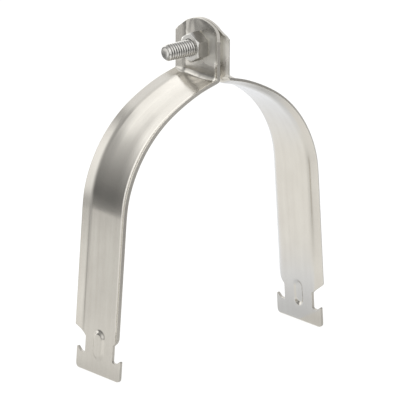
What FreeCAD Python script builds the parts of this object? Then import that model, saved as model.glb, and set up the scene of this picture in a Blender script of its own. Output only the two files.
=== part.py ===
import FreeCAD, Part
import math
import os

# Strut pipe clamp: two mirrored straps, one bolt and one nut.
# X runs across the clamp along the bolt, Y along the pipe, Z up.
# The origin is the middle of the pipe. The strap on the -X side takes the nut.

os.makedirs("parts", exist_ok=True)
Vec = FreeCAD.Vector

# Driving sizes, in mm and degrees.
PIPE_D = 114.3          # outside diameter of the pipe that the clamp holds
SHEET = 1.52            # thickness of the strap's sheet
WIDTH = 32.2            # width of the strap, over the flanges and over the hooks
FLANGE_W = 3.9          # width of each folded flange, seen square to the strap
FLARE = 33.5            # angle of these flanges to the flat between them
FOLD_R = 5.0            # inside radius of the two long folds
LEG_SPLAY = 4.3         # lean of each leg from the vertical
ARC_END = 59.5          # angle above level where the strap leaves the pipe
SHOULDER_R = 98.0       # wider curve from there to the bend below the ear
FLANGE_BEND_R = 0.65    # radius that the flanges' tips take in the bend into the ear
EAR_GAP = 0.2           # gap between the two ears
BOLT_RISE = 19.75       # bolt axis above the top of the pipe
EAR_RISE = 32.8         # top of the ear above the top of the pipe
EAR_ARCH = 7.5          # rise of the arch at the top of the ear
EAR_HOLE_D = 8.73       # clearance hole for the bolt
NOTCH_W = 6.0           # depth of each strut notch, in from the strap's edge
NECK_RISE = 0.2         # top of the notch above the bottom of the pipe
NOTCH_SLOPE = 5.0       # height of the slope that leads into the notch
NOTCH_FLOOR_DROP = 7.85  # bottom of the notch below the bottom of the pipe
PRONG_H = 2.0           # height of the outer tip above the notch's bottom
HOOK_H = 8.5            # bottom of the notch to the end of the strap
HOOK_CORNER_R = 2.2     # outer corners at the end of the strap
DIMPLE_L = 13.4         # pressed stiffener in the neck, its length on the pipe side
DIMPLE_W = 7.2          # and its width there
DIMPLE_DEPTH = 1.6      # how far it is pressed away from the pipe
DIMPLE_DRAFT = 1.3      # run of its sloping wall
DIMPLE_DROP = 2.0       # its middle below the bottom of the pipe
BOLT_D = 7.94           # outside of the thread
BOLT_LEN = 24.5         # underside of the head to the end of the bolt
BOLT_END_CHAMFER = 0.9
BOLT_DISH_R = 2.1       # shallow hollow in the bolt's end
BOLT_DISH_DEPTH = 0.5
HEX_AF = 12.7           # across the flats, of the head and the nut
HEAD_H = 5.2
NUT_H = 6.6
NUT_TURN = -7.0         # turn of the nut about the bolt
RUNNING_CLEARANCE = 0.05
HEX_CORNER = 30.0       # angle of the turned corners of head and nut

# Derived sizes.
PIPE_R = PIPE_D / 2
splay = math.radians(LEG_SPLAY)
arc_end = math.radians(ARC_END)
flare = math.radians(FLARE)
EAR_OUT_X = EAR_GAP / 2 + SHEET
BOLT_Z = PIPE_R + BOLT_RISE
EAR_TOP_Z = PIPE_R + EAR_RISE
HALF_W = WIDTH / 2
HALF_NECK = HALF_W - NOTCH_W
# The fold: its outer radius, where it starts, and the straight run of the flange
# from there to the strap's edge.
FOLD_OUTER_R = FOLD_R + SHEET
FOLD_Y = HALF_W - FLANGE_W - FOLD_OUTER_R * math.tan(flare / 2)
FLANGE_RUN = (HALF_W - FOLD_Y - FOLD_OUTER_R * math.sin(flare)) / math.cos(flare)
FLANGE_OUT = FOLD_OUTER_R - FOLD_R * math.cos(flare) + FLANGE_RUN * math.sin(flare)
# Centre of the bend into the ear, measured out from the strap's inner face.
BEND_OUT = FLANGE_OUT + FLANGE_BEND_R


def out_dir(angle):
    """Unit vector away from the pipe on the -X side, at an angle above level."""
    return Vec(-math.cos(angle), 0, math.sin(angle))


def up_dir(angle):
    """Unit vector along the strap towards the ear, at the same angle."""
    return Vec(math.sin(angle), 0, math.cos(angle))


def round_outline(corners, place):
    """Closed face through (u, v, radius) corners. place turns (u, v) into a point."""
    edges = []
    count = len(corners)
    starts = []
    ends = []
    mids = []
    for i in range(count):
        here = Vec(corners[i][0], corners[i][1], 0)
        before = Vec(corners[i - 1][0], corners[i - 1][1], 0)
        after = Vec(corners[(i + 1) % count][0], corners[(i + 1) % count][1], 0)
        to_before = (before - here).normalize()
        to_after = (after - here).normalize()
        radius = corners[i][2]
        half = to_before.getAngle(to_after) / 2
        reach = radius / math.tan(half)
        starts.append(here + to_before * reach)
        ends.append(here + to_after * reach)
        middle = here
        if radius > 0:
            bisector = (to_before + to_after).normalize()
            middle = here + bisector * (radius / math.sin(half) - radius)
        mids.append(middle)
    for i in range(count):
        if corners[i][2] > 0:
            arc = Part.Arc(place(starts[i]), place(mids[i]), place(ends[i]))
            edges.append(arc.toShape())
        follow = (i + 1) % count
        edges.append(Part.makeLine(place(ends[i]), place(starts[follow])))
    return Part.Face(Part.Wire(edges))


def strap_section(base, angle):
    """Cross-section of the strap: a flat with a flange folded out at each edge."""
    out = out_dir(angle)
    outer_r = FOLD_OUTER_R
    run = FLANGE_RUN

    def at(radius, turn, extra, side):
        away = outer_r - radius * math.cos(turn) + extra * math.sin(turn)
        y = FOLD_Y + radius * math.sin(turn) + extra * math.cos(turn)
        return base + out * away + Vec(0, side * y, 0)

    def fold(radius, side):
        first = at(radius, 0, 0, side)
        middle = at(radius, flare / 2, 0, side)
        last = at(radius, flare, 0, side)
        return Part.Arc(first, middle, last).toShape()

    edges = [Part.makeLine(at(outer_r, 0, 0, -1), at(outer_r, 0, 0, 1))]
    edges.append(fold(outer_r, 1))
    edges.append(Part.makeLine(at(outer_r, flare, 0, 1), at(outer_r, flare, run, 1)))
    edges.append(Part.makeLine(at(outer_r, flare, run, 1), at(FOLD_R, flare, run, 1)))
    edges.append(Part.makeLine(at(FOLD_R, flare, run, 1), at(FOLD_R, flare, 0, 1)))
    edges.append(fold(FOLD_R, 1))
    edges.append(Part.makeLine(at(FOLD_R, 0, 0, 1), at(FOLD_R, 0, 0, -1)))
    edges.append(fold(FOLD_R, -1))
    edges.append(Part.makeLine(at(FOLD_R, flare, 0, -1), at(FOLD_R, flare, run, -1)))
    edges.append(Part.makeLine(at(FOLD_R, flare, run, -1), at(outer_r, flare, run, -1)))
    edges.append(Part.makeLine(at(outer_r, flare, run, -1), at(outer_r, flare, 0, -1)))
    edges.append(fold(outer_r, -1))
    return Part.Face(Part.Wire(Part.__sortEdges__(edges)))


# The leg's own frame: s down the leg from the end of the arc, y along the pipe
# and off away from the pipe.
leg_top = out_dir(splay) * PIPE_R


def leg_point(s, y, off):
    return leg_top - up_dir(splay) * s + Vec(0, y, 0) + out_dir(splay) * off


def leg_drop(below_pipe):
    """Distance down the leg of a level given below the bottom of the pipe."""
    return (PIPE_R * math.sin(splay) + PIPE_R + below_pipe) / math.cos(splay)


NECK_S = leg_drop(-NECK_RISE)
FLOOR_S = leg_drop(NOTCH_FLOOR_DROP)
PRONG_S = FLOOR_S - PRONG_H
END_S = FLOOR_S + HOOK_H


def leg_with_hook():
    """Straight leg, the notches for the strut's lips and the hook below them."""
    flanged = strap_section(leg_top, splay).extrude(-up_dir(splay) * NECK_S)
    slope = math.atan2(NOTCH_SLOPE, HALF_W - HALF_NECK)
    reach = WIDTH
    for side in (-1, 1):
        corners = [
            (HALF_NECK, NECK_S, 0),
            (HALF_NECK + reach * math.cos(slope), NECK_S - reach * math.sin(slope), 0),
            (HALF_NECK + reach * math.cos(slope), NECK_S + SHEET, 0),
            (HALF_NECK, NECK_S + SHEET, 0),
        ]
        wedge = round_outline(corners, lambda p: leg_point(p.y, side * p.x, -WIDTH))
        flanged = flanged.cut(wedge.extrude(out_dir(splay) * 2 * WIDTH))
    half = [
        (HALF_NECK, NECK_S - SHEET, 0),
        (HALF_NECK, FLOOR_S, 0.7),
        (HALF_W - 1.4 * PRONG_H, FLOOR_S, 1.8),
        (HALF_W - 0.2 * PRONG_H, PRONG_S, 0.2),
        (HALF_W, PRONG_S + 0.25 * PRONG_H, 0.2),
        (HALF_W, END_S, HOOK_CORNER_R),
    ]
    outline = half + [(-y, s, r) for y, s, r in reversed(half)]
    hook = round_outline(outline, lambda p: leg_point(p.y, p.x, 0))
    return flanged.fuse(hook.extrude(out_dir(splay) * SHEET))


def dimple_blank(off):
    """Stadium with a sloping wall. Its wide face lies at off and its top further out."""
    middle = leg_drop(DIMPLE_DROP)
    # Off the pipe side it is wider, so that the sloping wall keeps the sheet's thickness.
    spread = off * math.tan(math.atan2(DIMPLE_DEPTH, DIMPLE_DRAFT) / 2)
    wires = []
    for level, inset in ((off, 0), (off + DIMPLE_DEPTH, DIMPLE_DRAFT)):
        wide = DIMPLE_W / 2 + spread - inset
        straight = (DIMPLE_L - DIMPLE_W) / 2
        top = leg_point(middle - straight, 0, level)
        bottom = leg_point(middle + straight, 0, level)
        side = Vec(0, wide, 0)
        up = up_dir(splay) * wide
        edges = [
            Part.Arc(top - side, top + up, top + side).toShape(),
            Part.makeLine(top + side, bottom + side),
            Part.Arc(bottom + side, bottom - up, bottom - side).toShape(),
            Part.makeLine(bottom - side, top - side),
        ]
        wires.append(Part.Wire(edges))
    return Part.makeLoft(wires, True, True)


def strap():
    """The strap on the -X side: leg, arc round the pipe, bend and ear."""
    y_axis = Vec(0, 1, 0)
    body = leg_with_hook()
    arc = strap_section(leg_top, splay).revolve(Vec(0, 0, 0), y_axis, ARC_END - LEG_SPLAY)
    # Shoulder: a wider curve that leaves the pipe and runs into the bend below the ear.
    arc_top = out_dir(arc_end) * PIPE_R
    shoulder_middle = arc_top - out_dir(arc_end) * SHOULDER_R
    bend_x = EAR_GAP / 2 + BEND_OUT
    shoulder_end = math.acos((bend_x + shoulder_middle.x) / (SHOULDER_R + BEND_OUT))
    turn = math.degrees(shoulder_end) - ARC_END
    shoulder = strap_section(arc_top, arc_end).revolve(shoulder_middle, y_axis, turn)
    bend_start = shoulder_middle + out_dir(shoulder_end) * SHOULDER_R
    bend_middle = bend_start + out_dir(shoulder_end) * BEND_OUT
    bend = strap_section(bend_start, shoulder_end)
    bend = bend.revolve(bend_middle, y_axis, -math.degrees(shoulder_end))
    # Ear, arched at the top and bored for the bolt.
    ear_base = Vec(-EAR_GAP / 2, 0, bend_middle.z)
    ear = strap_section(ear_base, 0).extrude(Vec(0, 0, EAR_TOP_Z - bend_middle.z))
    arch_r = (HALF_W ** 2 + EAR_ARCH ** 2) / (2 * EAR_ARCH)
    arch_z = EAR_TOP_Z - arch_r
    depth = 4 * SHEET + WIDTH
    above = Part.makeBox(depth, 2 * WIDTH, 2 * arch_r, Vec(-depth, -WIDTH, arch_z))
    round_top = Part.makeCylinder(arch_r, depth, Vec(-depth, 0, arch_z), Vec(1, 0, 0))
    ear = ear.cut(above.cut(round_top))
    hole = Part.makeCylinder(EAR_HOLE_D / 2, depth, Vec(-depth, 0, BOLT_Z), Vec(1, 0, 0))
    ear = ear.cut(hole)
    body = body.fuse([arc, shoulder, bend, ear])
    # Stiffener pressed away from the pipe.
    body = body.fuse(dimple_blank(SHEET))
    body = body.cut(dimple_blank(0))
    return body.removeSplitter()


def hex_blank(x_low, height, turn, chamfer_low, chamfer_high):
    """Hexagon along X with its corners turned off at the chosen ends."""
    corner_r = HEX_AF / math.sqrt(3)
    points = []
    for k in range(7):
        angle = math.radians(60 * k - turn)
        points.append(Vec(x_low, corner_r * math.sin(angle), BOLT_Z + corner_r * math.cos(angle)))
    prism = Part.Face(Part.makePolygon(points)).extrude(Vec(height, 0, 0))
    face_r = HEX_AF / 2 * 0.97
    drop = (corner_r - face_r) * math.tan(math.radians(HEX_CORNER))
    profile = [Vec(x_low, 0, BOLT_Z)]
    if chamfer_low:
        profile.append(Vec(x_low, 0, BOLT_Z + face_r))
        profile.append(Vec(x_low + drop, 0, BOLT_Z + corner_r))
    else:
        profile.append(Vec(x_low, 0, BOLT_Z + corner_r))
    if chamfer_high:
        profile.append(Vec(x_low + height - drop, 0, BOLT_Z + corner_r))
        profile.append(Vec(x_low + height, 0, BOLT_Z + face_r))
    else:
        profile.append(Vec(x_low + height, 0, BOLT_Z + corner_r))
    profile.append(Vec(x_low + height, 0, BOLT_Z))
    profile.append(profile[0])
    turned = Part.Face(Part.makePolygon(profile)).revolve(Vec(0, 0, BOLT_Z), Vec(1, 0, 0), 360)
    return prism.common(turned)


def turned_part(profile):
    """Solid turned about the bolt axis from (x, radius) points."""
    points = [Vec(x, 0, BOLT_Z + r) for x, r in profile]
    points.append(points[0])
    return Part.Face(Part.makePolygon(points)).revolve(Vec(0, 0, BOLT_Z), Vec(1, 0, 0), 360)


def bolt():
    """Hex-head bolt. Its head bears on the +X ear and its end points to -X."""
    seat = EAR_OUT_X
    end = seat - BOLT_LEN
    radius = BOLT_D / 2
    shank = turned_part([
        (seat, 0),
        (seat, radius),
        (end + BOLT_END_CHAMFER, radius),
        (end, radius - BOLT_END_CHAMFER),
        (end, BOLT_DISH_R),
        (end + BOLT_DISH_DEPTH, 0),
    ])
    head = hex_blank(seat, HEAD_H, 0, False, True)
    return head.fuse(shank).removeSplitter()


def nut():
    """Hex nut that bears on the -X ear."""
    low = -EAR_OUT_X - NUT_H
    high = -EAR_OUT_X
    bore = BOLT_D / 2 + RUNNING_CLEARANCE
    mouth = bore + 0.45
    blank = hex_blank(low, NUT_H, NUT_TURN, True, True)
    hollow = turned_part([
        (low, 0),
        (low, mouth),
        (low + 0.45, bore),
        (high - 0.45, bore),
        (high, mouth),
        (high, 0),
    ])
    return blank.cut(hollow)


nut_side = strap()
head_side = nut_side.mirror(Vec(0, 0, 0), Vec(1, 0, 0))
nodes = {
    "nut_side_strap": nut_side,
    "head_side_strap": head_side,
    "bolt": bolt(),
    "nut": nut(),
}
for name, shape in nodes.items():
    solid = shape.Solids[0]
    solid.exportStep(os.path.join("parts", name + ".step"))
    box = solid.BoundBox
    print(name, "solids", len(shape.Solids), "valid", solid.isValid(), "volume", round(solid.Volume, 1))
    print("   x %.2f %.2f  y %.2f %.2f  z %.2f %.2f" % (
        box.XMin, box.XMax, box.YMin, box.YMax, box.ZMin, box.ZMax))
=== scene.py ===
# %% [markdown]
# # Strut pipe clamp
# The clamp is two mirrored straps of stainless sheet, a bolt and a nut. Their hooked legs
# drop into a strut channel, and the bolt draws the two straps shut on a pipe.
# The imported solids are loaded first, because they fix the place and size of every piece.
# Each piece made below takes the place of one of them and moves as it does.

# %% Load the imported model
import bpy
import bmesh
import math
from mathutils import Matrix, Vector


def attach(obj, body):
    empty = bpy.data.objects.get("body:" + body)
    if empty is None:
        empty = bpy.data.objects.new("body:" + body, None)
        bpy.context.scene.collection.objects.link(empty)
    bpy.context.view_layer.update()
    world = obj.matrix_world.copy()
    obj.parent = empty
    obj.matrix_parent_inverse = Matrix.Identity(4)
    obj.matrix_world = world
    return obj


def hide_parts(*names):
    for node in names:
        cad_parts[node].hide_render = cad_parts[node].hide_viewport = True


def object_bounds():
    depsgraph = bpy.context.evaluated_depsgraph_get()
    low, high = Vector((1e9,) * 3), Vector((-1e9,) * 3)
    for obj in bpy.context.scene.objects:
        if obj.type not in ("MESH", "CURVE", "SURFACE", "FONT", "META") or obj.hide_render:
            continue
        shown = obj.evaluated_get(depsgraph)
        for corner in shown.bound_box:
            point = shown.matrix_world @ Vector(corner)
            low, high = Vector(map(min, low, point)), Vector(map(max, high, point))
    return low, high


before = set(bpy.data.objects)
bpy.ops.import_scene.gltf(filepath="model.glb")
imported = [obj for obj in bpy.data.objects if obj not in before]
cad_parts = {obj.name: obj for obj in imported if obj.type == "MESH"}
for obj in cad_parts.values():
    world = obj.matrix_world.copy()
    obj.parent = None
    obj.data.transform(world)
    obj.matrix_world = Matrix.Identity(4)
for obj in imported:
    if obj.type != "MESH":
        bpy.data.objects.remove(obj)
cad_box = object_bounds()

# %% [markdown]
# ## The folded sheet
# Each strap is a shallow channel of 1.5 mm sheet. Both long edges are folded away from the
# pipe, which makes the thin strap stiff. It could be drawn in its final shape and given a
# thickness, but then the folds and bends would pinch or swell. Here it is made as the press
# makes it, from a flat blank that is bent by one mapping, so the sheet stays 1.5 mm thick.
# Sizes are in millimetres, as on a drawing, and are turned to metres in the finished mesh.

# %% Sizes across the strap
MM = 0.001
SHEET = 1.52
WIDTH = 32.2
FLANGE_W = 3.9
FLARE = math.radians(33.5)
FOLD_R = 5.0

HALF_W = WIDTH / 2
FOLD_OUTER_R = FOLD_R + SHEET
FOLD_Y = HALF_W - FLANGE_W - FOLD_OUTER_R * math.tan(FLARE / 2)
FOLD_LEN = FOLD_OUTER_R * FLARE
FLANGE_RUN = (HALF_W - FOLD_Y - FOLD_OUTER_R * math.sin(FLARE)) / math.cos(FLARE)
FLANGE_OUT = FOLD_OUTER_R - FOLD_R * math.cos(FLARE) + FLANGE_RUN * math.sin(FLARE)
BLANK_HALF = FOLD_Y + FOLD_LEN + FLANGE_RUN


def section(x, height):
    """(y, out) of a point of the blank once the flanges are folded."""
    side = -1 if x < 0 else 1
    x = abs(x)
    turn = min(max((x - FOLD_Y) / FOLD_OUTER_R, 0.0), FLARE)
    run = max(0.0, x - FOLD_Y - FOLD_LEN)
    radius = FOLD_OUTER_R - height
    y = min(x, FOLD_Y) + radius * math.sin(turn) + run * math.cos(turn)
    out = FOLD_OUTER_R - radius * math.cos(turn) + run * math.sin(turn)
    return side * y, out


print("flat between the folds", round(2 * FOLD_Y, 2), "blank width", round(2 * BLANK_HALF, 2))
print("flange tip", [round(v, 2) for v in section(BLANK_HALF, SHEET)])

# %% [markdown]
# ## The strap seen from its side
# Seen along the pipe, the nut's strap is a straight leg that leans out a little, an arc
# round the pipe, a wider shoulder arc, a tight bend and the straight ear. Each run is a
# line or an arc that leaves the last one smoothly, so the path is worked out run by run
# from t, the distance up the strap. t is 0 where the leg meets the arc.

# %% Sizes of the path
PIPE_R = 57.15
LEAN = math.radians(4.3)
ARC_END = math.radians(59.5)
SHOULDER_R = 98.0
FLANGE_BEND_R = 0.65
EAR_GAP = 0.2
BOLT_Z = PIPE_R + 19.75
EAR_TOP_Z = PIPE_R + 32.8


def out_dir(angle):
    """Away from the pipe, at an angle up from level."""
    return Vector((-math.cos(angle), 0, math.sin(angle)))


def up_dir(angle):
    return Vector((math.sin(angle), 0, math.cos(angle)))


BEND_OUT = FLANGE_OUT + FLANGE_BEND_R
shoulder_middle = out_dir(ARC_END) * (PIPE_R - SHOULDER_R)
SHOULDER_END = math.acos((EAR_GAP / 2 + BEND_OUT + shoulder_middle.x) / (SHOULDER_R + BEND_OUT))
bend_middle = shoulder_middle + out_dir(SHOULDER_END) * (SHOULDER_R + BEND_OUT)
ARC_LEN = PIPE_R * (ARC_END - LEAN)
SHOULDER_T = ARC_LEN + SHOULDER_R * (SHOULDER_END - ARC_END)
BEND_T = SHOULDER_T + BEND_OUT * SHOULDER_END


def path(t):
    """Point of the inner face's middle line, and the direction away from the pipe."""
    if t <= 0:
        return out_dir(LEAN) * PIPE_R + up_dir(LEAN) * t, out_dir(LEAN)
    if t <= ARC_LEN:
        angle = LEAN + t / PIPE_R
        return out_dir(angle) * PIPE_R, out_dir(angle)
    if t <= SHOULDER_T:
        angle = ARC_END + (t - ARC_LEN) / SHOULDER_R
        return shoulder_middle + out_dir(angle) * SHOULDER_R, out_dir(angle)
    if t <= BEND_T:
        angle = SHOULDER_END - (t - SHOULDER_T) / BEND_OUT
        return bend_middle - out_dir(angle) * BEND_OUT, out_dir(angle)
    return Vector((-EAR_GAP / 2, 0, bend_middle.z + t - BEND_T)), out_dir(0)


print("arc ends at", round(ARC_LEN, 2), "shoulder", round(SHOULDER_T, 2), "bend", round(BEND_T, 2))

# %% [markdown]
# ## The flat blank
# The real strap starts as a blank, sheared from sheet with its hook, its two lip notches
# and its arched end. The outline is one face of a few corners, each rounded by a vertex
# bevel, and its top edge is divided and lifted onto the arch. That is quicker to change
# than a traced curve, because every corner is a named size.
# In the blank x is across the strap and y runs up it, as t does.

# %% Outline of the blank
NECK_TOP = -0.2        # this level and the next are below the bottom of the pipe
NOTCH_FLOOR = 7.85
HOOK_H = 8.5           # from the notch's floor to the foot
NOTCH_W = 6.0
NOTCH_SLOPE = 5.0
PRONG_H = 2.0
EAR_ARCH = 7.5
ARCH_R = (HALF_W ** 2 + EAR_ARCH ** 2) / (2 * EAR_ARCH)
ARCH_CUTS = 47
CORNER_STEPS = 5


def leg_drop(below_pipe):
    """Distance down the leg of a level given below the bottom of the pipe."""
    return (PIPE_R * math.sin(LEAN) + PIPE_R + below_pipe) / math.cos(LEAN)


def arch_t(y):
    """Height up the blank of the ear's arched end, at y across the finished ear."""
    z = EAR_TOP_Z - ARCH_R + math.sqrt(ARCH_R ** 2 - y ** 2)
    return BEND_T + z - bend_middle.z


NECK_S = leg_drop(NECK_TOP)
FLOOR_S = leg_drop(NOTCH_FLOOR)
PRONG_S = FLOOR_S - PRONG_H
END_S = FLOOR_S + HOOK_H
ARCH_LOW = arch_t(HALF_W)
CORNERS = [                                          # x, y and radius, from the foot up
    (HALF_W, -END_S, 2.2),                           # corner of the foot
    (HALF_W, -PRONG_S - 0.25 * PRONG_H, 0.25),       # prong, its outer side
    (HALF_W - 0.2 * PRONG_H, -PRONG_S, 0.25),        # prong, its tip
    (HALF_W - 1.4 * PRONG_H, -FLOOR_S, 1.8),         # hollow inside the prong
    (HALF_W - NOTCH_W, -FLOOR_S, 0.7),               # neck, its lower end
    (HALF_W - NOTCH_W, -NECK_S, 0.35),               # neck, its upper end
    (BLANK_HALF, -NECK_S + NOTCH_SLOPE, 0.6),        # lower end of the folded edge
    (BLANK_HALF, ARCH_LOW, 0.5),                     # where the ear's arch starts
]


def blank_outline():
    """Face with the blank's outline, its corners rounded and its top arched."""
    bm = bmesh.new()
    corners = CORNERS + [(-x, y, r) for x, y, r in reversed(CORNERS)]
    verts = [bm.verts.new((x, y, 0)) for x, y, r in corners]
    bm.faces.new(verts)
    for vert, (x, y, r) in zip(verts, corners):
        sides = [(e.other_vert(vert).co - vert.co) for e in vert.link_edges]
        reach = r / math.tan(sides[0].angle(sides[1]) / 2)
        bmesh.ops.bevel(bm, geom=[vert], offset=reach, offset_type="OFFSET",
                        segments=CORNER_STEPS, profile=0.5, affect="VERTICES", material=-1)
    top = [e for e in bm.edges if e.calc_length() > HALF_W
           and min(v.co.y for v in e.verts) > ARCH_LOW - 1e-4]
    parts = bmesh.ops.subdivide_edges(bm, edges=top, cuts=ARCH_CUTS)["geom_inner"]
    for vert in [part for part in parts if isinstance(part, bmesh.types.BMVert)]:
        across = min(HALF_W, section(abs(vert.co.x), 0)[0])
        vert.co.y = max(arch_t(across), ARCH_LOW)
    return bm


outline = blank_outline()
print("outline corners", len(outline.verts), "blank length", round(END_S + arch_t(0), 2))
outline.free()

# %% [markdown]
# ## Stiffener and hollow
# A long oval stiffener is pressed into the neck, away from the pipe, with soft shoulders.
# Bending a channel round an arc also leaves its flat a fifth of a millimetre hollow, which
# is what spreads the reflections along its edges. Both are heights added to the mapping,
# as they are too shallow and too smooth for a cut or a bevel.

# %% Heights pressed into the sheet
STIFFENER_L = 13.4
STIFFENER_W = 7.2
STIFFENER_DEPTH = 1.0
STIFFENER_RUN = 2.8                                          # width of its soft shoulder
STIFFENER_T = -leg_drop(2.0)                                 # its middle up the strap
STIFFENER_SPREAD = math.tan(math.atan2(1.6, 1.3) / 2)        # growth through the sheet
HOLLOW = 0.22
HOLLOW_EASE = 12.0                                           # length over which it fades


def smooth(value):
    """0 to 1 with a level start and end."""
    value = min(1.0, max(0.0, value))
    return value * value * value * (value * (value * 6 - 15) + 10)


def stiffener(x, t, height):
    """Height of the pressed stiffener at a point of the blank."""
    along = max(0.0, abs(t - STIFFENER_T) - (STIFFENER_L - STIFFENER_W) / 2)
    inside = STIFFENER_W / 2 + height * STIFFENER_SPREAD - math.hypot(x, along)
    return STIFFENER_DEPTH * smooth((inside + 0.5) / STIFFENER_RUN)


def hollow(x, t):
    """Height of the flat's edges over its middle, along the two arcs only."""
    share = smooth(t / HOLLOW_EASE) * smooth((SHOULDER_T - t) / HOLLOW_EASE)
    return HOLLOW * share * smooth((abs(x) - 4.0) / 10.0)


print("stiffener", stiffener(0, STIFFENER_T, 0), "hollow", round(hollow(FOLD_Y, ARC_LEN), 3))

# %% [markdown]
# ## Forming
# The press folds the edges and bends the strap in one stroke, so one function does both:
# it takes a point of the blank and gives its place in space. The hook plate below the neck
# is left flat, because its notches cut the folded edges off.

# %% From the blank to the formed strap
def form(x, t, height):
    """Point of the formed strap for a point of the blank."""
    base, out = path(t)
    if t < -NECK_S + 0.01:
        y, away = x, height
    else:
        y, away = section(x, height)
    return base + out * (away + stiffener(x, t, height) + hollow(x, t)) + Vector((0, y, 0))


print("ear top", round(form(0, arch_t(0), 0).z, 2), "foot", round(form(0, -END_S, 0).z, 2))

# %% [markdown]
# ## Cutting and keeping meshes
# Four small tools serve all the pieces: one plane cut, one report on a finished mesh, one
# that puts a mesh into the scene, and one for its shading. Weighted normals let the large
# flat faces decide the shading, so that narrow bevels catch the light as rounded edges do.

# %% Tools for every piece
def cut(bm, point, normal, near, clear_outer=False):
    """Cuts the whole mesh along a plane. Points within near of the plane move onto it."""
    bmesh.ops.bisect_plane(bm, geom=bm.verts[:] + bm.edges[:] + bm.faces[:], dist=near,
                           plane_co=point, plane_no=normal, clear_outer=clear_outer)


def describe(name, bm):
    open_edges = [e for e in bm.edges if not e.is_manifold]
    print(name, "faces", len(bm.faces), "open edges", len(open_edges),
          "volume", round(bm.calc_volume() * 1e9, 1), "mm3")


def object_from(bm, name):
    """Object at the origin with this mesh."""
    mesh = bpy.data.meshes.new(name)
    bm.to_mesh(mesh)
    bm.free()
    piece = bpy.data.objects.new(name, mesh)
    bpy.context.scene.collection.objects.link(piece)
    return piece


def shade_evenly(piece, keep_sharp):
    shade = piece.modifiers.new("even_normals", "WEIGHTED_NORMAL")
    shade.mode = "FACE_AREA"
    shade.keep_sharp = keep_sharp
    return piece


print("tools ready")

# %% [markdown]
# ## The blank as sheet
# The outline and the bolt hole are filled with triangles, merged into large faces and given
# the sheet's thickness. The rims get a small round, as a tumbled sheared edge has.

# %% Blank with its thickness
EAR_HOLE_R = 8.73 / 2
RIM_ROUND = 0.16


def blank_solid():
    bm = blank_outline()
    bmesh.ops.delete(bm, geom=bm.faces[:], context="FACES_ONLY")
    hole_t = BEND_T + BOLT_Z - bend_middle.z
    bmesh.ops.create_circle(bm, cap_ends=False, segments=64, radius=EAR_HOLE_R,
                            matrix=Matrix.Translation((0, hole_t, 0)))
    bmesh.ops.triangle_fill(bm, use_beauty=True, use_dissolve=False, edges=bm.edges[:])
    bmesh.ops.dissolve_limit(bm, angle_limit=0.01, verts=[], edges=bm.edges[:])
    bmesh.ops.recalc_face_normals(bm, faces=bm.faces[:])
    bmesh.ops.solidify(bm, geom=bm.faces[:], thickness=SHEET)
    low = min(v.co.z for v in bm.verts)
    bmesh.ops.translate(bm, verts=bm.verts[:], vec=(0, 0, -low))
    bmesh.ops.recalc_face_normals(bm, faces=bm.faces[:])
    rims = [e for e in bm.edges if e.calc_face_angle(0) > 1.2
            and abs(e.verts[0].co.z - e.verts[1].co.z) < 1e-4]
    bmesh.ops.bevel(bm, geom=rims, offset=RIM_ROUND, offset_type="OFFSET", segments=3,
                    profile=0.5, affect="EDGES", material=-1)
    return bm


blank = blank_solid()
print("faces of the plain blank", len(blank.faces))
blank.free()

# %% [markdown]
# ## Rows and columns
# A mesh bends only at its edges, so the blank is cut by planes into rows and columns, close
# together where the sheet folds, bends or is pressed, and far apart where it stays flat.

# %% Slices through the blank
PRESSED_REACH = 8.2        # rows are close together this far from the stiffener's middle


def spaced(start, end, step):
    count = max(1, round((end - start) / step))
    return [start + (end - start) * i / count for i in range(count + 1)]


def slice_blank(bm):
    low, high = STIFFENER_T - PRESSED_REACH, STIFFENER_T + PRESSED_REACH
    columns = spaced(FOLD_Y, FOLD_Y + FOLD_LEN, 0.32)
    columns += [FOLD_Y + FOLD_LEN + FLANGE_RUN / 2] + spaced(4.0, FOLD_Y, 1.0)
    columns = columns + [-x for x in columns] + spaced(-5.0, 5.0, 0.4)
    rows = spaced(-END_S, low, 2.5)[1:-1] + spaced(low, high, 0.42) + [-NECK_S + 0.02]
    rows += spaced(STIFFENER_T + 10, 0, 2.5) + spaced(0, ARC_LEN, 0.9)
    rows += spaced(ARC_LEN, SHOULDER_T, 1.1) + spaced(SHOULDER_T, BEND_T, 0.22)
    rows += spaced(BEND_T, arch_t(0), 2.0)[:-1]
    for x in columns:
        cut(bm, (x, 0, 0), (1, 0, 0), 1e-4)
    for t in rows:
        cut(bm, (0, t, 0), (0, 1, 0), 1e-4)
    print("columns", len(columns), "rows", len(rows))


# %% [markdown]
# ## The two straps
# Every point of the sliced blank is moved by the forming function. Its place on the blank
# is kept as a UV map in metres, so that the rolled grain follows the strap round its bends,
# as it does on real sheet. The head's strap is the mirror image, so its normals are found
# again. Faces of the cut edge get the second material.

# %% Form both straps
def strap_mesh(name, mirrored):
    bm = blank_solid()
    slice_blank(bm)
    grain = bm.loops.layers.uv.new("blank")
    for face in bm.faces:
        face.smooth = True
        face.material_index = 1 if abs(face.normal.z) < 0.3 else 0
        for loop in face.loops:
            loop[grain].uv = (loop.vert.co.x * MM, loop.vert.co.y * MM)
    for vert in bm.verts:
        vert.co = form(*vert.co) * MM
    if mirrored:
        bmesh.ops.scale(bm, vec=(-1, 1, 1), verts=bm.verts[:])
    bmesh.ops.recalc_face_normals(bm, faces=bm.faces[:])
    describe(name, bm)
    return shade_evenly(object_from(bm, name), False)


nut_side = strap_mesh("nut_side_sheet_strap", False)
head_side = strap_mesh("head_side_sheet_strap", True)

# %% [markdown]
# ## The thread
# The bolt is a 5/16-18 cap screw with a rolled thread, 7.94 mm over its crests and 1.41 mm
# from crest to crest. Rings stacked along the bolt would look like a thread from afar, but
# they don't climb. Here the outline of all the turns is spun once about the axis while it
# moves along by one pitch. The end of each turn meets the start of the next, and a true
# right-hand helix is left. How deep a point lies is kept for the material.

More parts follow.
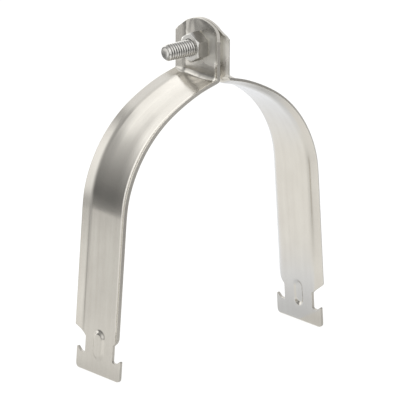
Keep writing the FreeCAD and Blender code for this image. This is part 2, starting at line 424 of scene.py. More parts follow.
# %% A right-hand thread as a tube
PITCH = 25.4 / 18
TURN_STEPS = 72
CREST_R = 3.97
ROOT_R = 3.16
THREAD_SHAPE = [(0.0, 0.97), (0.03, 1.0), (0.115, 1.0), (0.145, 0.97), (0.43, 0.12),
                (0.49, 0.02), (0.572, 0.0), (0.655, 0.02), (0.715, 0.12)]


def thread_tube(bm, x_from, x_to, grow):
    """Helical surface round the X axis between two planes. grow widens it for a nut."""
    depth = CREST_R - ROOT_R
    count = math.ceil((x_to - x_from) / PITCH) + 2
    start = PITCH * math.floor(x_from / PITCH - 1)
    verts = [bm.verts.new((start + (turn + part) * PITCH, 0, ROOT_R + grow + depth * rise))
             for turn in range(count) for part, rise in THREAD_SHAPE]
    edges = [bm.edges.new(pair) for pair in zip(verts[:-1], verts[1:])]
    bmesh.ops.spin(bm, geom=verts + edges, cent=(0, 0, 0), axis=(1, 0, 0),
                   dvec=(PITCH / TURN_STEPS, 0, 0), angle=2 * math.pi, steps=TURN_STEPS,
                   use_merge=False, use_duplicate=False)
    bmesh.ops.remove_doubles(bm, verts=bm.verts[:], dist=1e-3)
    # The depth kept here drives the painted shade in the thread's grooves.
    groove = bm.verts.layers.float.new("groove")
    for vert in bm.verts:
        vert[groove] = (ROOT_R + grow + depth - math.hypot(vert.co.y, vert.co.z)) / depth
    for x, away in ((x_from, -1), (x_to, 1)):
        cut(bm, (x, 0, 0), (away, 0, 0), 1e-5, clear_outer=True)
    print("thread from", round(x_from, 2), "to", round(x_to, 2), "faces", len(bm.faces))


# %% [markdown]
# ## Turning and boring
# A lathe then chamfers the thread's ends. The tube's points are pulled in to a largest
# radius, or pushed out to a smallest one, and open rims are extruded to close the ends.

# %% Lathe tools
def set_radius(vert, radius):
    now = math.hypot(vert.co.y, vert.co.z)
    vert.co.y *= radius / now
    vert.co.z *= radius / now


def limit_radius(bm, limit, keep=min):
    """Turns the tube down, or bores it out, to limit(x)."""
    for vert in bm.verts:
        radius = math.hypot(vert.co.y, vert.co.z)
        if radius > 1e-6:
            set_radius(vert, keep(radius, limit(vert.co.x)))


def slice_x(bm, places):
    for x in places:
        cut(bm, (x, 0, 0), (1, 0, 0), 1e-5)


def open_loop(bm, x):
    """Edges of the open rim at x."""
    return [e for e in bm.edges if e.is_boundary
            and all(abs(v.co.x - x) < 1e-3 for v in e.verts)]


def grow_rim(bm, edges, x, radius):
    """Extrudes an open rim to a new place and radius, and gives back the new rim."""
    made = bmesh.ops.extrude_edge_only(bm, edges=edges)["geom"]
    groove = bm.verts.layers.float["groove"]
    for vert in [part for part in made if isinstance(part, bmesh.types.BMVert)]:
        vert[groove] = 0.0
        vert.co.x = x
        set_radius(vert, radius)
    return [part for part in made if isinstance(part, bmesh.types.BMEdge)]


print("lathe tools ready")

# %% [markdown]
# ## Hexagons
# Head and nut are 12.7 mm across their flats. Their corners are turned off at 30 degrees,
# which leaves an arc on each flat. A six-sided prism with bevelled ends can't give these
# arcs. So a round profile is spun, and its outer rings are moved out onto the hexagon and
# back by the cone's slope: each arc comes out where the cone meets the flat.

# %% Hexagonal body
HEX_AF = 12.7
FACE_R = HEX_AF / 2 * 0.97
CORNER_SLOPE = math.tan(math.radians(30))


def hex_radius(angle):
    sector = math.radians(60)
    return HEX_AF / 2 / math.cos((angle + sector / 2) % sector - sector / 2)


def hex_body(bm, low, high, turn, chamfer_low, chamfer_high, bore_low, bore_high):
    """Hexagonal shell along X. Its faces end at the bores' rims, which stay open."""
    rings = [(low, bore_low), (low, FACE_R), (low, HEX_AF / 2),
             (high, HEX_AF / 2), (high, FACE_R), (high, bore_high)]
    older = set(bm.verts)
    verts = [bm.verts.new((x, 0, r)) for x, r in rings]
    edges = [bm.edges.new(pair) for pair in zip(verts[:-1], verts[1:])]
    bmesh.ops.spin(bm, geom=verts + edges, cent=(0, 0, 0), axis=(1, 0, 0), dvec=(0, 0, 0),
                   angle=2 * math.pi, steps=TURN_STEPS, use_merge=True, use_duplicate=False)
    for vert in set(bm.verts) - older:
        if abs(math.hypot(vert.co.y, vert.co.z) - HEX_AF / 2) < 1e-3:
            wanted = hex_radius(math.atan2(vert.co.y, vert.co.z) + turn)
            set_radius(vert, wanted)
            drop = (wanted - FACE_R) * CORNER_SLOPE
            if abs(vert.co.x - low) < 1e-3:
                vert.co.x += drop if chamfer_low else 0.0
            else:
                vert.co.x -= drop if chamfer_high else 0.0


print("across the corners", round(2 * hex_radius(math.radians(30)), 2))

# %% [markdown]
# ## Finishing the fasteners
# The hexagon's hard edges are rounded by 0.08 mm, so that they catch a line of light. The
# faces are sorted by how the real ones were made, for their materials: machined thread 0,
# forged flats 1, turned end faces 2.

# %% Round, place and sort the faces
MOUTH = 4.45               # radius of the countersink at each end of the nut's thread
EDGE_ROUND = 0.08
MACHINED, FORGED, TURNED = 0, 1, 2


def finish_piece(bm, name):
    bmesh.ops.recalc_face_normals(bm, faces=bm.faces[:])
    hard = [e for e in bm.edges if e.calc_face_angle(0) > 0.4
            and min(math.hypot(v.co.y, v.co.z) for v in e.verts) > FACE_R - 0.05]
    bmesh.ops.bevel(bm, geom=hard, offset=EDGE_ROUND, offset_type="OFFSET", segments=2,
                    profile=0.5, affect="EDGES", material=-1)
    bmesh.ops.translate(bm, verts=bm.verts[:], vec=(0, 0, BOLT_Z))
    bmesh.ops.scale(bm, vec=(MM, MM, MM), verts=bm.verts[:])
    for face in bm.faces:
        face.smooth = True
        middle = face.calc_center_median() / MM - Vector((0, 0, BOLT_Z))
        reach = math.hypot(middle.y, middle.z)
        if abs(face.normal.x) < 0.1:
            face.material_index = FORGED if reach > FACE_R else MACHINED
        else:
            face.material_index = TURNED if reach > MOUTH else MACHINED
    for edge in bm.edges:
        edge.smooth = edge.calc_face_angle(0) < 0.6
    describe(name, bm)
    return shade_evenly(object_from(bm, name), True)


print("edge round", EDGE_ROUND)

# %% [markdown]
# ## The bolt
# The screw's end is chamfered and has the shallow hollow that rolling leaves, made by
# extruding its rim inwards ring by ring. Under the head the thread runs out into a short
# neck. The head itself is a plain forged hexagon.

# %% Bolt
SEAT = EAR_GAP / 2 + SHEET
BOLT_LEN = 24.5
HEAD_H = 5.2
END_CHAMFER = 0.9
NECK_R = 3.1
HEAD_BORE_R = 3.3
BOLT_END = SEAT - BOLT_LEN
HEAD_TOP = SEAT + HEAD_H
END_RINGS = ((0.0, 2.9), (0.0, 2.3), (0.02, 2.1), (0.06, 1.8), (0.11, 1.3), (0.14, 0.7), (0.15, 0.2))


def bolt_limit(x):
    """Largest radius of the thread: less at the chamfer and at the neck."""
    from_end = CREST_R - END_CHAMFER + max(0.0, x - BOLT_END) * 0.95
    from_head = NECK_R + max(0.0, SEAT - 0.5 - x) * 1.2
    return min(CREST_R, from_end, from_head)


bolt_bm = bmesh.new()
thread_tube(bolt_bm, BOLT_END, SEAT, 0.0)
slice_x(bolt_bm, [BOLT_END + step for step in (0.25, 0.5, 0.75, 1.0)] + [SEAT - 0.5, SEAT - 0.9])
limit_radius(bolt_bm, bolt_limit)
groove = bolt_bm.verts.layers.float["groove"]
# The painted groove shade fades out over the bolt's end chamfer.
for vert in bolt_bm.verts:
    vert[groove] *= min(1.0, (vert.co.x - BOLT_END) / 0.8)
rim = open_loop(bolt_bm, BOLT_END)
for inward, radius in END_RINGS:
    rim = grow_rim(bolt_bm, rim, BOLT_END + inward, radius)
bmesh.ops.contextual_create(bolt_bm, geom=rim)
hex_body(bolt_bm, SEAT, HEAD_TOP, 0.0, False, True, HEAD_BORE_R, 2.0)
bmesh.ops.triangle_fill(bolt_bm, use_beauty=True, edges=open_loop(bolt_bm, SEAT), normal=(1, 0, 0))
rim = grow_rim(bolt_bm, open_loop(bolt_bm, HEAD_TOP), HEAD_TOP, 0.5)
bmesh.ops.contextual_create(bolt_bm, geom=rim)
bolt = finish_piece(bolt_bm, "threaded_bolt")

# %% [markdown]
# ## The nut
# The nut is chamfered on both faces and countersunk at both ends of its thread. Its thread
# is the bolt's, a twentieth of a millimetre wider, and so runs in step with it. It is
# turned so that one flat faces the near side, as it stands in the photograph.

# %% Nut
NUT_H = 6.6
NUT_TURN = math.radians(-30.0)
NUT_CLEARANCE = 0.05
NUT_LOW = -SEAT - NUT_H
NUT_HIGH = -SEAT
nut_bm = bmesh.new()
thread_tube(nut_bm, NUT_LOW, NUT_HIGH, NUT_CLEARANCE)
slice_x(nut_bm, [NUT_LOW + 0.2, NUT_LOW + 0.4, NUT_LOW + 0.7,
                 NUT_HIGH - 0.7, NUT_HIGH - 0.4, NUT_HIGH - 0.2])
limit_radius(nut_bm, lambda x: MOUTH - min(x - NUT_LOW, NUT_HIGH - x), max)
hex_body(nut_bm, NUT_LOW, NUT_HIGH, NUT_TURN, True, True, MOUTH + 0.15, MOUTH + 0.15)
for x in (NUT_LOW, NUT_HIGH):
    bmesh.ops.triangle_fill(nut_bm, use_beauty=True, edges=open_loop(nut_bm, x), normal=(1, 0, 0))
nut = finish_piece(nut_bm, "hex_nut")

# %% [markdown]
# ## Riding and replacing
# Each new piece moves with the body of the solid that it stands for, and hides that solid.

# %% Riding
for piece, body, node, slot in (
        (nut_side, "nut_side", "nut_side_strap", "strap_steel"),
        (head_side, "head_side", "head_side_strap", "strap_steel"),
        (bolt, "bolt", "bolt", "fastener_steel"),
        (nut, "nut", "nut", "fastener_steel")):
    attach(piece, body)
    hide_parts(node)
    print(piece.name, "rides on", body)

# %% [markdown]
# ## Materials
# All the metal is stainless steel. What differs is how each surface was made: rolled sheet,
# sheared edges, machined thread, forged flats and turned faces. An image of each could be
# wrapped round the piece, but nodes stay sharp at any distance and can be set by size.
# Colours are sRGB hex values, as in a paint program, and one function turns them to the
# linear numbers that Blender works in. One helper adds every node.

# %% Helpers for materials
# A Mix node has a pair of sockets for each kind of data. These are the ones used here.
NUMBER_A, NUMBER_B, COLOUR_A, COLOUR_B, MIXED_COLOUR = 2, 3, 6, 7, 2


def colour(hexcode):
    """Linear RGBA from an sRGB hex value."""
    parts = [int(hexcode[i:i + 2], 16) / 255 for i in (1, 3, 5)]
    return [v / 12.92 if v <= 0.04045 else ((v + 0.055) / 1.055) ** 2.4 for v in parts] + [1.0]


def add(tree, kind, settings=None, links=None):
    """Adds a node. Settings name its properties or inputs, links join inputs to outputs."""
    node = tree.nodes.new(kind)
    for key, value in (settings or {}).items():
        if isinstance(key, str) and hasattr(node, key):
            setattr(node, key, value)
        else:
            node.inputs[key].default_value = value
    for key, output in (links or {}).items():
        tree.links.new(output, node.inputs[key])
    return node


def new_material(name):
    material = bpy.data.materials.new(name)
    material.use_nodes = True
    material.node_tree.nodes.clear()
    return material, material.node_tree


print("mid grey in linear numbers", round(colour("#808080")[0], 3))

# %% [markdown]
# ## The colour of rolled stainless
# The straps are cold-rolled 304 sheet in a 2B finish: pickled, then passed once between
# polished rolls. The eye sees a satin, slightly warm grey with streaks along the rolling
# direction, which is the strap's length, and faint cloudy patches. The real streaks are a
# tenth of a millimetre wide, too fine to show here, so they are drawn about 3 mm wide.

# %% Streaks and clouds of the sheet
STREAKS = (330, 14, 1)        # cells to the metre: 3 mm across the strap, 70 mm along it
CLOUDS = 90.0                 # cells to the metre: 11 mm patches


def sheet_patches(tree, place):
    """0 to 1 in streaks and cloudy patches."""
    streak_place = add(tree, "ShaderNodeMapping", {"Scale": STREAKS}, {"Vector": place})
    streak = add(tree, "ShaderNodeTexNoise", {"Scale": 1.0, "Detail": 2.0},
                 {"Vector": streak_place.outputs[0]})
    cloud = add(tree, "ShaderNodeTexNoise", {"Scale": CLOUDS, "Detail": 4.0}, {"Vector": place})
    patch = add(tree, "ShaderNodeMix", {"data_type": "FLOAT", 0: 0.5},
                {NUMBER_A: cloud.outputs[0], NUMBER_B: streak.outputs[0]})
    return add(tree, "ShaderNodeMapRange", {"From Min": 0.3, "From Max": 0.7},
               {"Value": patch.outputs[0]}).outputs[0]


print("streaks", round(1000 / STREAKS[0], 1), "mm wide, clouds", round(1000 / CLOUDS), "mm")

# %% [markdown]
# ## Marks on the ear
# Pressing the ear leaves marks: the flat swells very slightly, and round the nut the metal
# is rougher and its colour is painted paler, a painted light patch beside the nut. Both are
# soft round spots. They are relief, roughness and painted colour in the material and not in
# the mesh, because they are so low and broad, and the sheet stays flat where the nut is seated.

# %% Spots on the ear
# Place across and up, reach across and up, and for the swellings the height, all in mm.
SWELLINGS = [(0.0, 68.0, 18.0, 36.0, 0.5), (-15.5, 67.0, 11.0, 12.0, 0.4)]
RUBBED = (-7.0, BOLT_Z, 11.0, 9.5)


def spot(tree, place, y, z, reach_y, reach_z):
    """1 at y and z, falling to 0 at the reach each way, all in millimetres."""
    centred = add(tree, "ShaderNodeMapping", {
        "vector_type": "TEXTURE", "Location": (0, y * MM, z * MM),
        "Scale": (1, reach_y * MM, reach_z * MM)}, {"Vector": place})
    return add(tree, "ShaderNodeTexGradient", {"gradient_type": "SPHERICAL"},
               {"Vector": centred.outputs[0]}).outputs["Fac"]


def swelling(tree, place, y, z, reach_y, reach_z, lift):
    """Height in metres of a broad smooth swelling that is lift millimetres high."""
    return add(tree, "ShaderNodeMapRange", {"interpolation_type": "SMOOTHERSTEP",
                                            "To Max": lift * MM},
               {"Value": spot(tree, place, y, z, reach_y, reach_z)}).outputs[0]


def ear_relief(tree, place, worked):
    """Bumped normal of the ear: broad swellings, then dents of about 9 mm where worked."""
    swell = [swelling(tree, place, *mark) for mark in SWELLINGS]
    height = add(tree, "ShaderNodeMath", {"operation": "ADD"}, {0: swell[0], 1: swell[1]})
    pressed = add(tree, "ShaderNodeBump", {"Strength": 1.0, "Distance": 1.0},
                  {"Height": height.outputs[0]})
    wave = add(tree, "ShaderNodeTexNoise", {"Scale": 110.0, "Detail": 1.5, "Distortion": 0.6},
               {"Vector": place})
    return add(tree, "ShaderNodeBump", {"Distance": 0.00025},
               {"Height": wave.outputs[0], "Strength": worked,
                "Normal": pressed.outputs[0]}).outputs[0]


print("swellings", len(SWELLINGS), "rubbed patch", [round(v, 1) for v in RUBBED])

# %% [markdown]
# ## Satin rolled stainless
# The parts come together here. Roughness starts from about 0.2, which is typical of 2B
# sheet, and wanders with the patches. A grain along the rolling direction breaks up the
# reflections. Real grain is a few hundredths of a millimetre wide and is drawn 0.7 mm wide
# and 25 mm long. From the shoulder's end up, the press has worked the metal.

# %% Satin rolled stainless
GRAIN = (1500, 40, 1)         # cells to the metre: 0.7 mm across the strap, 25 mm along it


def rolled_stainless():
    material, tree = new_material("satin_rolled_stainless")
    place = add(tree, "ShaderNodeUVMap", {"uv_map": "blank"}).outputs["UV"]
    solid = add(tree, "ShaderNodeTexCoord").outputs["Object"]
    patches = sheet_patches(tree, place)
    tint = add(tree, "ShaderNodeMix", {"data_type": "RGBA", COLOUR_A: colour("#DAD7D0"),
                                       COLOUR_B: colour("#D2CEC7")}, {0: patches})
    along = add(tree, "ShaderNodeSeparateXYZ", None, {0: place}).outputs["Y"]
    worked = add(tree, "ShaderNodeMapRange", {"From Min": (SHOULDER_T - 14) * MM,
                                              "From Max": (SHOULDER_T - 2) * MM},
                 {"Value": along}).outputs[0]
    rough_sheet = add(tree, "ShaderNodeMapRange", {"To Min": 0.18, "To Max": 0.23},
                      {"Value": patches})
    rough = add(tree, "ShaderNodeMix", {"data_type": "FLOAT", NUMBER_B: 0.2},
                {0: worked, NUMBER_A: rough_sheet.outputs[0]})
    # Painted light: round the nut the sheet is drawn rougher and its colour is painted paler.
    rubbed = add(tree, "ShaderNodeMapRange", {"From Min": 0.05, "From Max": 0.35},
                 {"Value": spot(tree, solid, *RUBBED)}).outputs[0]
    rough_ear = add(tree, "ShaderNodeMix", {"data_type": "FLOAT", NUMBER_B: 0.5},
                    {0: rubbed, NUMBER_A: rough.outputs[0]})
    tint_ear = add(tree, "ShaderNodeMix", {"data_type": "RGBA", COLOUR_B: colour("#F2F0EA")},
                   {0: rubbed, COLOUR_A: tint.outputs[MIXED_COLOUR]})
    grain_place = add(tree, "ShaderNodeMapping", {"Scale": GRAIN}, {"Vector": place})
    grain = add(tree, "ShaderNodeTexNoise", {"Scale": 1.0, "Detail": 3.0},
                {"Vector": grain_place.outputs[0]})
    bump = add(tree, "ShaderNodeBump", {"Strength": 1.0, "Distance": 0.0000025},
               {"Height": grain.outputs[0], "Normal": ear_relief(tree, solid, worked)})
    shader = add(tree, "ShaderNodeBsdfPrincipled", {"Metallic": 1.0}, {
        "Base Color": tint_ear.outputs[MIXED_COLOUR], "Roughness": rough_ear.outputs[0],
        "Normal": bump.outputs[0]})
    add(tree, "ShaderNodeOutputMaterial", None, {"Surface": shader.outputs[0]})
    return material


sheet_steel = rolled_stainless()
print(sheet_steel.name, "nodes", len(sheet_steel.node_tree.nodes))

# %% [markdown]
# ## Sheared edge
# Shearing bursts the sheet through its thickness, and tumbling then takes the burr off.
# The eye gets a duller, finely torn rim with no mirror in it. The real tears are about
# 0.1 mm apart and are drawn at 0.7 mm.

# %% Sheared stainless edge
def sheared_edge():
    material, tree = new_material("sheared_stainless_edge")
    place = add(tree, "ShaderNodeTexCoord").outputs["Object"]
    tears = add(tree, "ShaderNodeTexNoise", {"Scale": 1500.0, "Detail": 4.0}, {"Vector": place})
    tint = add(tree, "ShaderNodeMix", {"data_type": "RGBA", COLOUR_A: colour("#D2CFC9"),
                                       COLOUR_B: colour("#BAB6AF")}, {0: tears.outputs[0]})
    bump = add(tree, "ShaderNodeBump", {"Strength": 0.5, "Distance": 0.00004},
               {"Height": tears.outputs[0]})
    shader = add(tree, "ShaderNodeBsdfPrincipled", {"Metallic": 1.0, "Roughness": 0.45},
                 {"Base Color": tint.outputs[MIXED_COLOUR], "Normal": bump.outputs[0]})
    add(tree, "ShaderNodeOutputMaterial", None, {"Surface": shader.outputs[0]})
    return material


edge_steel = sheared_edge()
print(edge_steel.name)

# %% [markdown]
# ## Bright machined stainless
# The thread is rolled between hard dies and comes out bright on its crests. Its grooves
# see little light, so the eye gets light crests between dark lines. The thread kept its own
# depth as an attribute, and that paints shade into the grooves: the deeper, the darker.

# %% Bright machined stainless
def machined_stainless():
    material, tree = new_material("bright_machined_stainless")
    place = add(tree, "ShaderNodeTexCoord").outputs["Object"]
    cloud = add(tree, "ShaderNodeTexNoise", {"Scale": 400.0, "Detail": 4.0}, {"Vector": place})
    tint = add(tree, "ShaderNodeMix", {"data_type": "RGBA", COLOUR_A: colour("#E2E1DE"),
                                       COLOUR_B: colour("#CFCDC9")}, {0: cloud.outputs[0]})
    # Painted shade: the metal's colour is painted darker the deeper a point of the thread lies.
    depth = add(tree, "ShaderNodeAttribute", {"attribute_name": "groove"}).outputs["Fac"]
    deep = add(tree, "ShaderNodeMapRange", {"From Min": 0.3, "From Max": 0.85}, {"Value": depth})
    grooved = add(tree, "ShaderNodeMix", {"data_type": "RGBA", COLOUR_B: colour("#82807D")},
                  {0: deep.outputs[0], COLOUR_A: tint.outputs[MIXED_COLOUR]})
    rough = add(tree, "ShaderNodeMapRange", {"To Min": 0.16, "To Max": 0.3},
                {"Value": cloud.outputs[0]})
    bump = add(tree, "ShaderNodeBump", {"Strength": 0.3, "Distance": 0.00001},
               {"Height": cloud.outputs[0]})
    shader = add(tree, "ShaderNodeBsdfPrincipled", {"Metallic": 1.0}, {
        "Base Color": grooved.outputs[MIXED_COLOUR], "Roughness": rough.outputs[0],
        "Normal": bump.outputs[0]})
    add(tree, "ShaderNodeOutputMaterial", None, {"Surface": shader.outputs[0]})
    return material


thread_steel = machined_stainless()
print(thread_steel.name)

# %% [markdown]
# ## Forged flats
# The hexagon's flats keep the skin of the die that they were forged in: smooth but a shade
# darker than cut metal, with a slight unevenness of about 2 mm.

# %% Dull forged stainless
def forged_stainless():
    material, tree = new_material("dull_forged_stainless")
    place = add(tree, "ShaderNodeTexCoord").outputs["Object"]
    cloud = add(tree, "ShaderNodeTexNoise", {"Scale": 450.0, "Detail": 4.0}, {"Vector": place})
    tint = add(tree, "ShaderNodeMix", {"data_type": "RGBA", COLOUR_A: colour("#B2B0AD"),
                                       COLOUR_B: colour("#9C9A96")}, {0: cloud.outputs[0]})
    bump = add(tree, "ShaderNodeBump", {"Strength": 0.5, "Distance": 0.000015},
               {"Height": cloud.outputs[0]})
    shader = add(tree, "ShaderNodeBsdfPrincipled", {"Metallic": 1.0, "Roughness": 0.18},
                 {"Base Color": tint.outputs[MIXED_COLOUR], "Normal": bump.outputs[0]})
    add(tree, "ShaderNodeOutputMaterial", None, {"Surface": shader.outputs[0]})
    return material


flat_steel = forged_stainless()
print(flat_steel.name)

# %% [markdown]
# ## Turned faces
# The end faces and chamfers are cut on a lathe, which leaves fine rings round the bolt's
# axis. The eye gets a pale, even face. The real rings are about 0.1 mm apart and are drawn
# at 0.35 mm.

# %% Turned stainless face
def turned_stainless():
    material, tree = new_material("turned_stainless_face")
    place = add(tree, "ShaderNodeTexCoord").outputs["Object"]
    centred = add(tree, "ShaderNodeMapping", {"Location": (0, 0, -BOLT_Z * MM)}, {"Vector": place})
    rings = add(tree, "ShaderNodeTexWave", {
        "wave_type": "RINGS", "rings_direction": "X", "Scale": 900.0, "Distortion": 1.0},
        {"Vector": centred.outputs[0]}).outputs["Fac"]
    tint = add(tree, "ShaderNodeMix", {"data_type": "RGBA", COLOUR_A: colour("#EFEEEB"),
                                       COLOUR_B: colour("#E2E1DD")}, {0: rings})
    bump = add(tree, "ShaderNodeBump", {"Strength": 0.3, "Distance": 0.00001}, {"Height": rings})
    shader = add(tree, "ShaderNodeBsdfPrincipled", {"Metallic": 1.0, "Roughness": 0.38},
                 {"Base Color": tint.outputs[MIXED_COLOUR], "Normal": bump.outputs[0]})
    add(tree, "ShaderNodeOutputMaterial", None, {"Surface": shader.outputs[0]})
    return material


face_steel = turned_stainless()
print(face_steel.name)

# %% [markdown]
# ## Giving out the materials
# The order of the slots is the order that the faces were sorted in.

# %% Assign the materials
for piece in (nut_side, head_side):
    for steel in (sheet_steel, edge_steel):
        piece.data.materials.append(steel)
for piece in (bolt, nut):
    for steel in (thread_steel, flat_steel, face_steel):
        piece.data.materials.append(steel)
    print(piece.name, [m.name for m in piece.data.materials])

# %% [markdown]
# ## Floor and backdrop
# The clamp stands on a plain pale floor before a white background. Their paleness comes
# from what the camera and the reflections see, and not from extra light on the clamp, so
# the metal keeps its shades.

# %% Floor and world
FLOOR_Z = cad_box[0][2]


def seen_directly(tree):
    """1 for camera, glossy and transmission rays, as the background is seen by them."""
    rays = add(tree, "ShaderNodeLightPath")
    first = add(tree, "ShaderNodeMath", {"operation": "MAXIMUM"},
                {0: rays.outputs["Is Camera Ray"], 1: rays.outputs["Is Glossy Ray"]})
    return add(tree, "ShaderNodeMath", {"operation": "MAXIMUM"},
               {0: first.outputs[0], 1: rays.outputs["Is Transmission Ray"]}).outputs[0]


floor_paint, tree = new_material("pale_floor")
diffuse = add(tree, "ShaderNodeBsdfDiffuse", {"Color": colour("#828282")})
glow = add(tree, "ShaderNodeEmission", {"Color": colour("#F0F0F0")},
           {"Strength": seen_directly(tree)})
both = add(tree, "ShaderNodeAddShader", None, {0: diffuse.outputs[0], 1: glow.outputs[0]})
add(tree, "ShaderNodeOutputMaterial", None, {"Surface": both.outputs[0]})

floor_bm = bmesh.new()
bmesh.ops.create_grid(floor_bm, x_segments=1, y_segments=1, size=3.0,
                      matrix=Matrix.Translation((0, 0, FLOOR_Z)))
floor = object_from(floor_bm, "floor")
floor.data.materials.append(floor_paint)

world = bpy.data.worlds.new("studio")
bpy.context.scene.world = world
world.use_nodes = True
tree = world.node_tree
tree.nodes.clear()
level = add(tree, "ShaderNodeMapRange", {"To Min": 0.7, "To Max": 1.0},
            {"Value": seen_directly(tree)})
back = add(tree, "ShaderNodeBackground", {"Color": colour("#FFFFFF")},
           {"Strength": level.outputs[0]})
add(tree, "ShaderNodeOutputWorld", None, {"Surface": back.outputs[0]})
print("floor at", round(FLOOR_Z * 1000, 2), "mm")

# %% [markdown]
# ## How polished metal is lit
# Metal has hardly any shade of its own: it shows what stands round it. A photographer
# therefore puts white walls and dark cards round it, and their borders are the soft bands
# that are seen on the strap. Many lamps and cards could be placed one by one. It is simpler
# to sweep one wall round the clamp and to write down how bright it is, from the floor up,
# in each of five sectors. Only reflections see it, so it adds no light to the floor.

# %% Levels along a wall
def between(value, stops):
    """Straight-line value between (place, level) stops."""
    last = stops[0]
    for stop in stops:
        if value <= stop[0]:
            if stop[0] == last[0]:
                return stop[1]
            return last[1] + (stop[1] - last[1]) * (value - last[0]) / (stop[0] - last[0])
        last = stop
    return last[1]


def ease(value, middle, half):
    """0 well below the middle, 1 well above it."""
    share = min(1.0, max(0.0, (value - middle) / (2 * half) + 0.5))
    return share * share * (3 - 2 * share)


def tinted(level, cool):
    """Light between slightly warm, at 0, and slightly cool, at 1."""
    return [level * (1.01 - 0.035 * cool), level, level * (0.975 + 0.075 * cool), 1.0]


print("half way between 0.2 and 0.6:", between(50, [(0, 0.2), (100, 0.6)]))

# %% [markdown]
# ## The wall's five sectors
# Each table gives the level at heights in millimetres over the floor. Round the clamp, from
# the right behind it by the left to the front, stand a white wall, a dark card, a white
# wall and two dim fronts. The borders lean and blur with height, as hung paper does.

# %% Bright and dark sectors
BACK_RIGHT = [(0, 0.95), (15, 1.25), (60, 1.3), (110, 1.35), (217, 1.5), (300, 1.55),
              (450, 1.5), (500, 1.35), (620, 1.2), (700, 1.0), (1250, 0.9), (1800, 0.9)]
BACK_LEFT = [(0, 0.16), (90, 0.14), (118, 0.17), (161, 0.24), (217, 0.3), (274, 0.4),
             (333, 0.44), (449, 0.45), (700, 0.47), (900, 0.48), (1070, 0.6), (1300, 0.66),
             (1500, 0.7), (1800, 0.85)]
LEFT = [(0, 0.45), (18, 0.36), (40, 0.45), (80, 0.86), (140, 1.08), (200, 1.1), (350, 1.28),
        (620, 1.15), (780, 0.7), (950, 0.35), (1050, 0.4), (1300, 0.75), (1800, 0.9)]
FRONT_LEFT = [(0, 0.1), (40, 0.1), (60, 0.4), (150, 0.46), (330, 0.52), (500, 0.8),
              (800, 1.0), (1800, 1.0)]
FRONT_RIGHT = [(0, 0.2), (330, 0.22), (500, 0.6), (800, 1.0), (1800, 1.0)]
# Borders in degrees round the clamp, and half the width of a blurred border.
RIGHT_BORDER = [(0, 127.0), (150, 127.0), (217, 126.0), (274, 124.0), (333, 122.3),
                (392, 120.2), (449, 118.3), (496, 115.5), (530, 109.0), (600, 102.0),
                (700, 106.0), (850, 114.0), (1070, 124.0), (1800, 130.0)]
RIGHT_BLUR = [(0, 2.5), (60, 2.5), (150, 4.0), (300, 8.0), (600, 8.0), (700, 12.0), (1250, 16.0)]
LEFT_BORDER = [(0, 145.0), (45, 145.0), (75, 166.0), (200, 171.0), (350, 175.0), (1250, 178.0)]
LEFT_BLUR = 20.0
FRONT_BORDER, FRONT_BLUR = 222.0, 5.0
FAR_BORDER, FAR_BLUR = 285.0, 6.0


def wall_level(azimuth, height):
    level = between(height, BACK_RIGHT)
    for sector, border, blur in (
            (BACK_LEFT, between(height, RIGHT_BORDER), between(height, RIGHT_BLUR)),
            (LEFT, between(height, LEFT_BORDER), LEFT_BLUR),
            (FRONT_LEFT, FRONT_BORDER, FRONT_BLUR), (FRONT_RIGHT, FAR_BORDER, FAR_BLUR)):
        level += (between(height, sector) - level) * ease(azimuth, border, blur)
    return level


for azimuth in (60, 145, 200, 250, 320):
    print("level at", azimuth, "degrees, 0.3 m up:", round(wall_level(azimuth, 300), 2))

# %% [markdown]
# ## Sweeping the wall
# A line of points is spun about the upright axis through the clamp. Each point of the mesh
# keeps its own level as a colour attribute, and the material glows with it.

# %% Wall of light
WALL_R = 0.45
WALL_FROM, WALL_TO, WALL_STEPS = 48, 350, 151
WALL_ROW, WALL_ROWS = 0.0125, 145


def glowing(name):
    """Light of the colour that the attribute level gives at each point."""
    paint, tree = new_material(name)
    level = add(tree, "ShaderNodeAttribute", {"attribute_name": "level"}).outputs["Color"]
    glow = add(tree, "ShaderNodeEmission", None, {"Color": level})
    add(tree, "ShaderNodeOutputMaterial", None, {"Surface": glow.outputs[0]})
    return paint


def reflector(name, first, last, steps, profile, paint, level_at):
    """Surface swept about the Z axis that only the metal's reflections see."""
    bm = bmesh.new()
    start = Vector((math.cos(math.radians(first)), math.sin(math.radians(first)), 0))
    line = [bm.verts.new(start * r + Vector((0, 0, FLOOR_Z + z))) for r, z in profile]
    edges = [bm.edges.new(pair) for pair in zip(line[:-1], line[1:])]
    bmesh.ops.spin(bm, geom=line + edges, cent=(0, 0, 0), axis=(0, 0, 1), dvec=(0, 0, 0),
                   angle=math.radians(last - first), steps=steps, use_merge=False,
                   use_duplicate=False)
    level = bm.verts.layers.float_color.new("level")
    for vert in bm.verts:
        azimuth = math.degrees(math.atan2(vert.co.y, vert.co.x)) % 360
        vert[level] = level_at(azimuth, vert.co)
    print(name, "faces", len(bm.faces))
    card = object_from(bm, name)
    card.data.materials.append(paint)
    card.visible_camera = False
    card.visible_diffuse = False
    card.visible_shadow = False


reflector("light_wall", WALL_FROM, WALL_TO, WALL_STEPS,
          [(WALL_R, row * WALL_ROW) for row in range(WALL_ROWS)], glowing("wall_light"),
          lambda azimuth, place: tinted(wall_level(azimuth, (place.z - FLOOR_Z) * 1000), 0.2))

# %% [markdown]
# ## The floor in the reflections
# The floor is a shade darker under the clamp's feet, where its own shadow falls, and is
# cooler on the right. A thin disc just over the floor gives the steel these reflections.
# It could be painted into the floor, but then the picture would show it too.

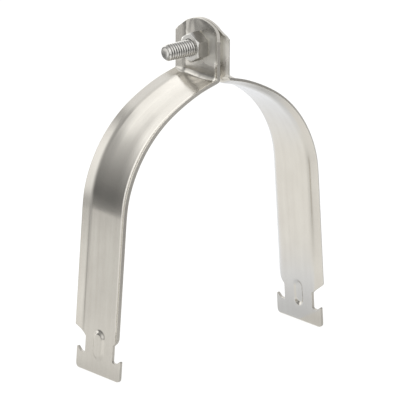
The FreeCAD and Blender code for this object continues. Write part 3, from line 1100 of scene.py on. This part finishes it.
# %% Floor card
FOOT_X, FOOT_HALF_Y = 0.0615, 0.016
NEAR_FOOT = [(0, 0.72), (8, 0.76), (25, 0.88), (45, 0.96), (80, 1.02), (450, 1.04)]
BEHIND_LEFT = [(0, 0.72), (8, 0.76), (25, 0.85), (60, 0.9), (140, 0.83), (180, 0.8), (450, 0.78)]
FLOOR_RINGS, RING_STEP = 33, 0.014


def inside(azimuth, first, last, blur_first, blur_last):
    """1 between two borders, 0 outside them."""
    return ease(azimuth, first, blur_first) * (1 - ease(azimuth, last, blur_last))


def floor_level(azimuth, place):
    from_foot = math.hypot(abs(place.x) - FOOT_X, max(0.0, abs(place.y) - FOOT_HALF_Y)) * 1000
    level = between(from_foot, NEAR_FOOT)
    level += (between(from_foot, BEHIND_LEFT) - level) * inside(azimuth, 137.0, 178.0, 4.0, 6.0)
    if from_foot > 100:
        level -= 0.33 * inside(azimuth, 162.0, 171.0, 2.0, 2.0)
    if from_foot > 120:
        level -= 0.85 * inside(azimuth, 215.0, 248.0, 6.0, 6.0)
    return tinted(level, 1 - ease(azimuth, 75.0, 25.0))


reflector("floor_card", 0, 360, 180,
          [(0.002 + ring * RING_STEP, 0.0004) for ring in range(FLOOR_RINGS)],
          glowing("floor_light"), floor_level)

# %% [markdown]
# ## The lamp
# One large softbox overhead lights the floor and gives the clamp its faint shadow. The
# wall already gives the reflections, so the lamp is kept out of them.

# %% Softbox
SOFTBOX_PLACE = Vector((-0.1, 0.1, 1.1))
softbox_light = bpy.data.lights.new("softbox_top", "AREA")
softbox_light.shape = "RECTANGLE"
softbox_light.size, softbox_light.size_y = 1.2, 1.2
softbox_light.energy = 5.5
softbox = bpy.data.objects.new("softbox_top", softbox_light)
bpy.context.scene.collection.objects.link(softbox)
softbox.location = SOFTBOX_PLACE
softbox.rotation_euler = (-SOFTBOX_PLACE).to_track_quat("-Z", "Y").to_euler()
softbox.visible_glossy = False
print("softbox", softbox_light.energy, "W")

# %% [markdown]
# ## Camera
# The camera looks from the nut's side and a little above, from over two metres away, so
# that near and far edges stay almost parallel. Its angles and focal length were fitted to
# the strap's edges in the photograph, whose frame is 400 pixels wide.

# %% Camera
AZIMUTH, ELEVATION, ROLL = (math.radians(v) for v in (-40.3274, 17.382, 0.2778))
DISTANCE = 2.33144
AIM = Vector((-0.001168, 0, 0.000525))
FOCAL_PX, FRAME_PX, SENSOR_MM = 4900.89, 400, 36.0

back_dir = Vector((math.sin(AZIMUTH) * math.cos(ELEVATION),
                   -math.cos(AZIMUTH) * math.cos(ELEVATION), math.sin(ELEVATION)))
level_right = Vector((math.cos(AZIMUTH), math.sin(AZIMUTH), 0))
level_up = back_dir.cross(level_right)
right = level_right * math.cos(ROLL) + level_up * math.sin(ROLL)
upward = level_up * math.cos(ROLL) - level_right * math.sin(ROLL)

camera_data = bpy.data.cameras.new("camera")
camera_data.sensor_width = SENSOR_MM
camera_data.lens = FOCAL_PX / FRAME_PX * SENSOR_MM
camera_data.clip_end = 20.0
camera = bpy.data.objects.new("camera", camera_data)
bpy.context.scene.collection.objects.link(camera)
turned = Matrix((right, upward, back_dir)).transposed().to_4x4()
camera.matrix_world = Matrix.Translation(AIM + back_dir * DISTANCE) @ turned
bpy.context.scene.camera = camera
bpy.context.scene.view_settings.view_transform = "Standard"
print("lens", round(camera_data.lens, 1), "mm at", DISTANCE, "m")
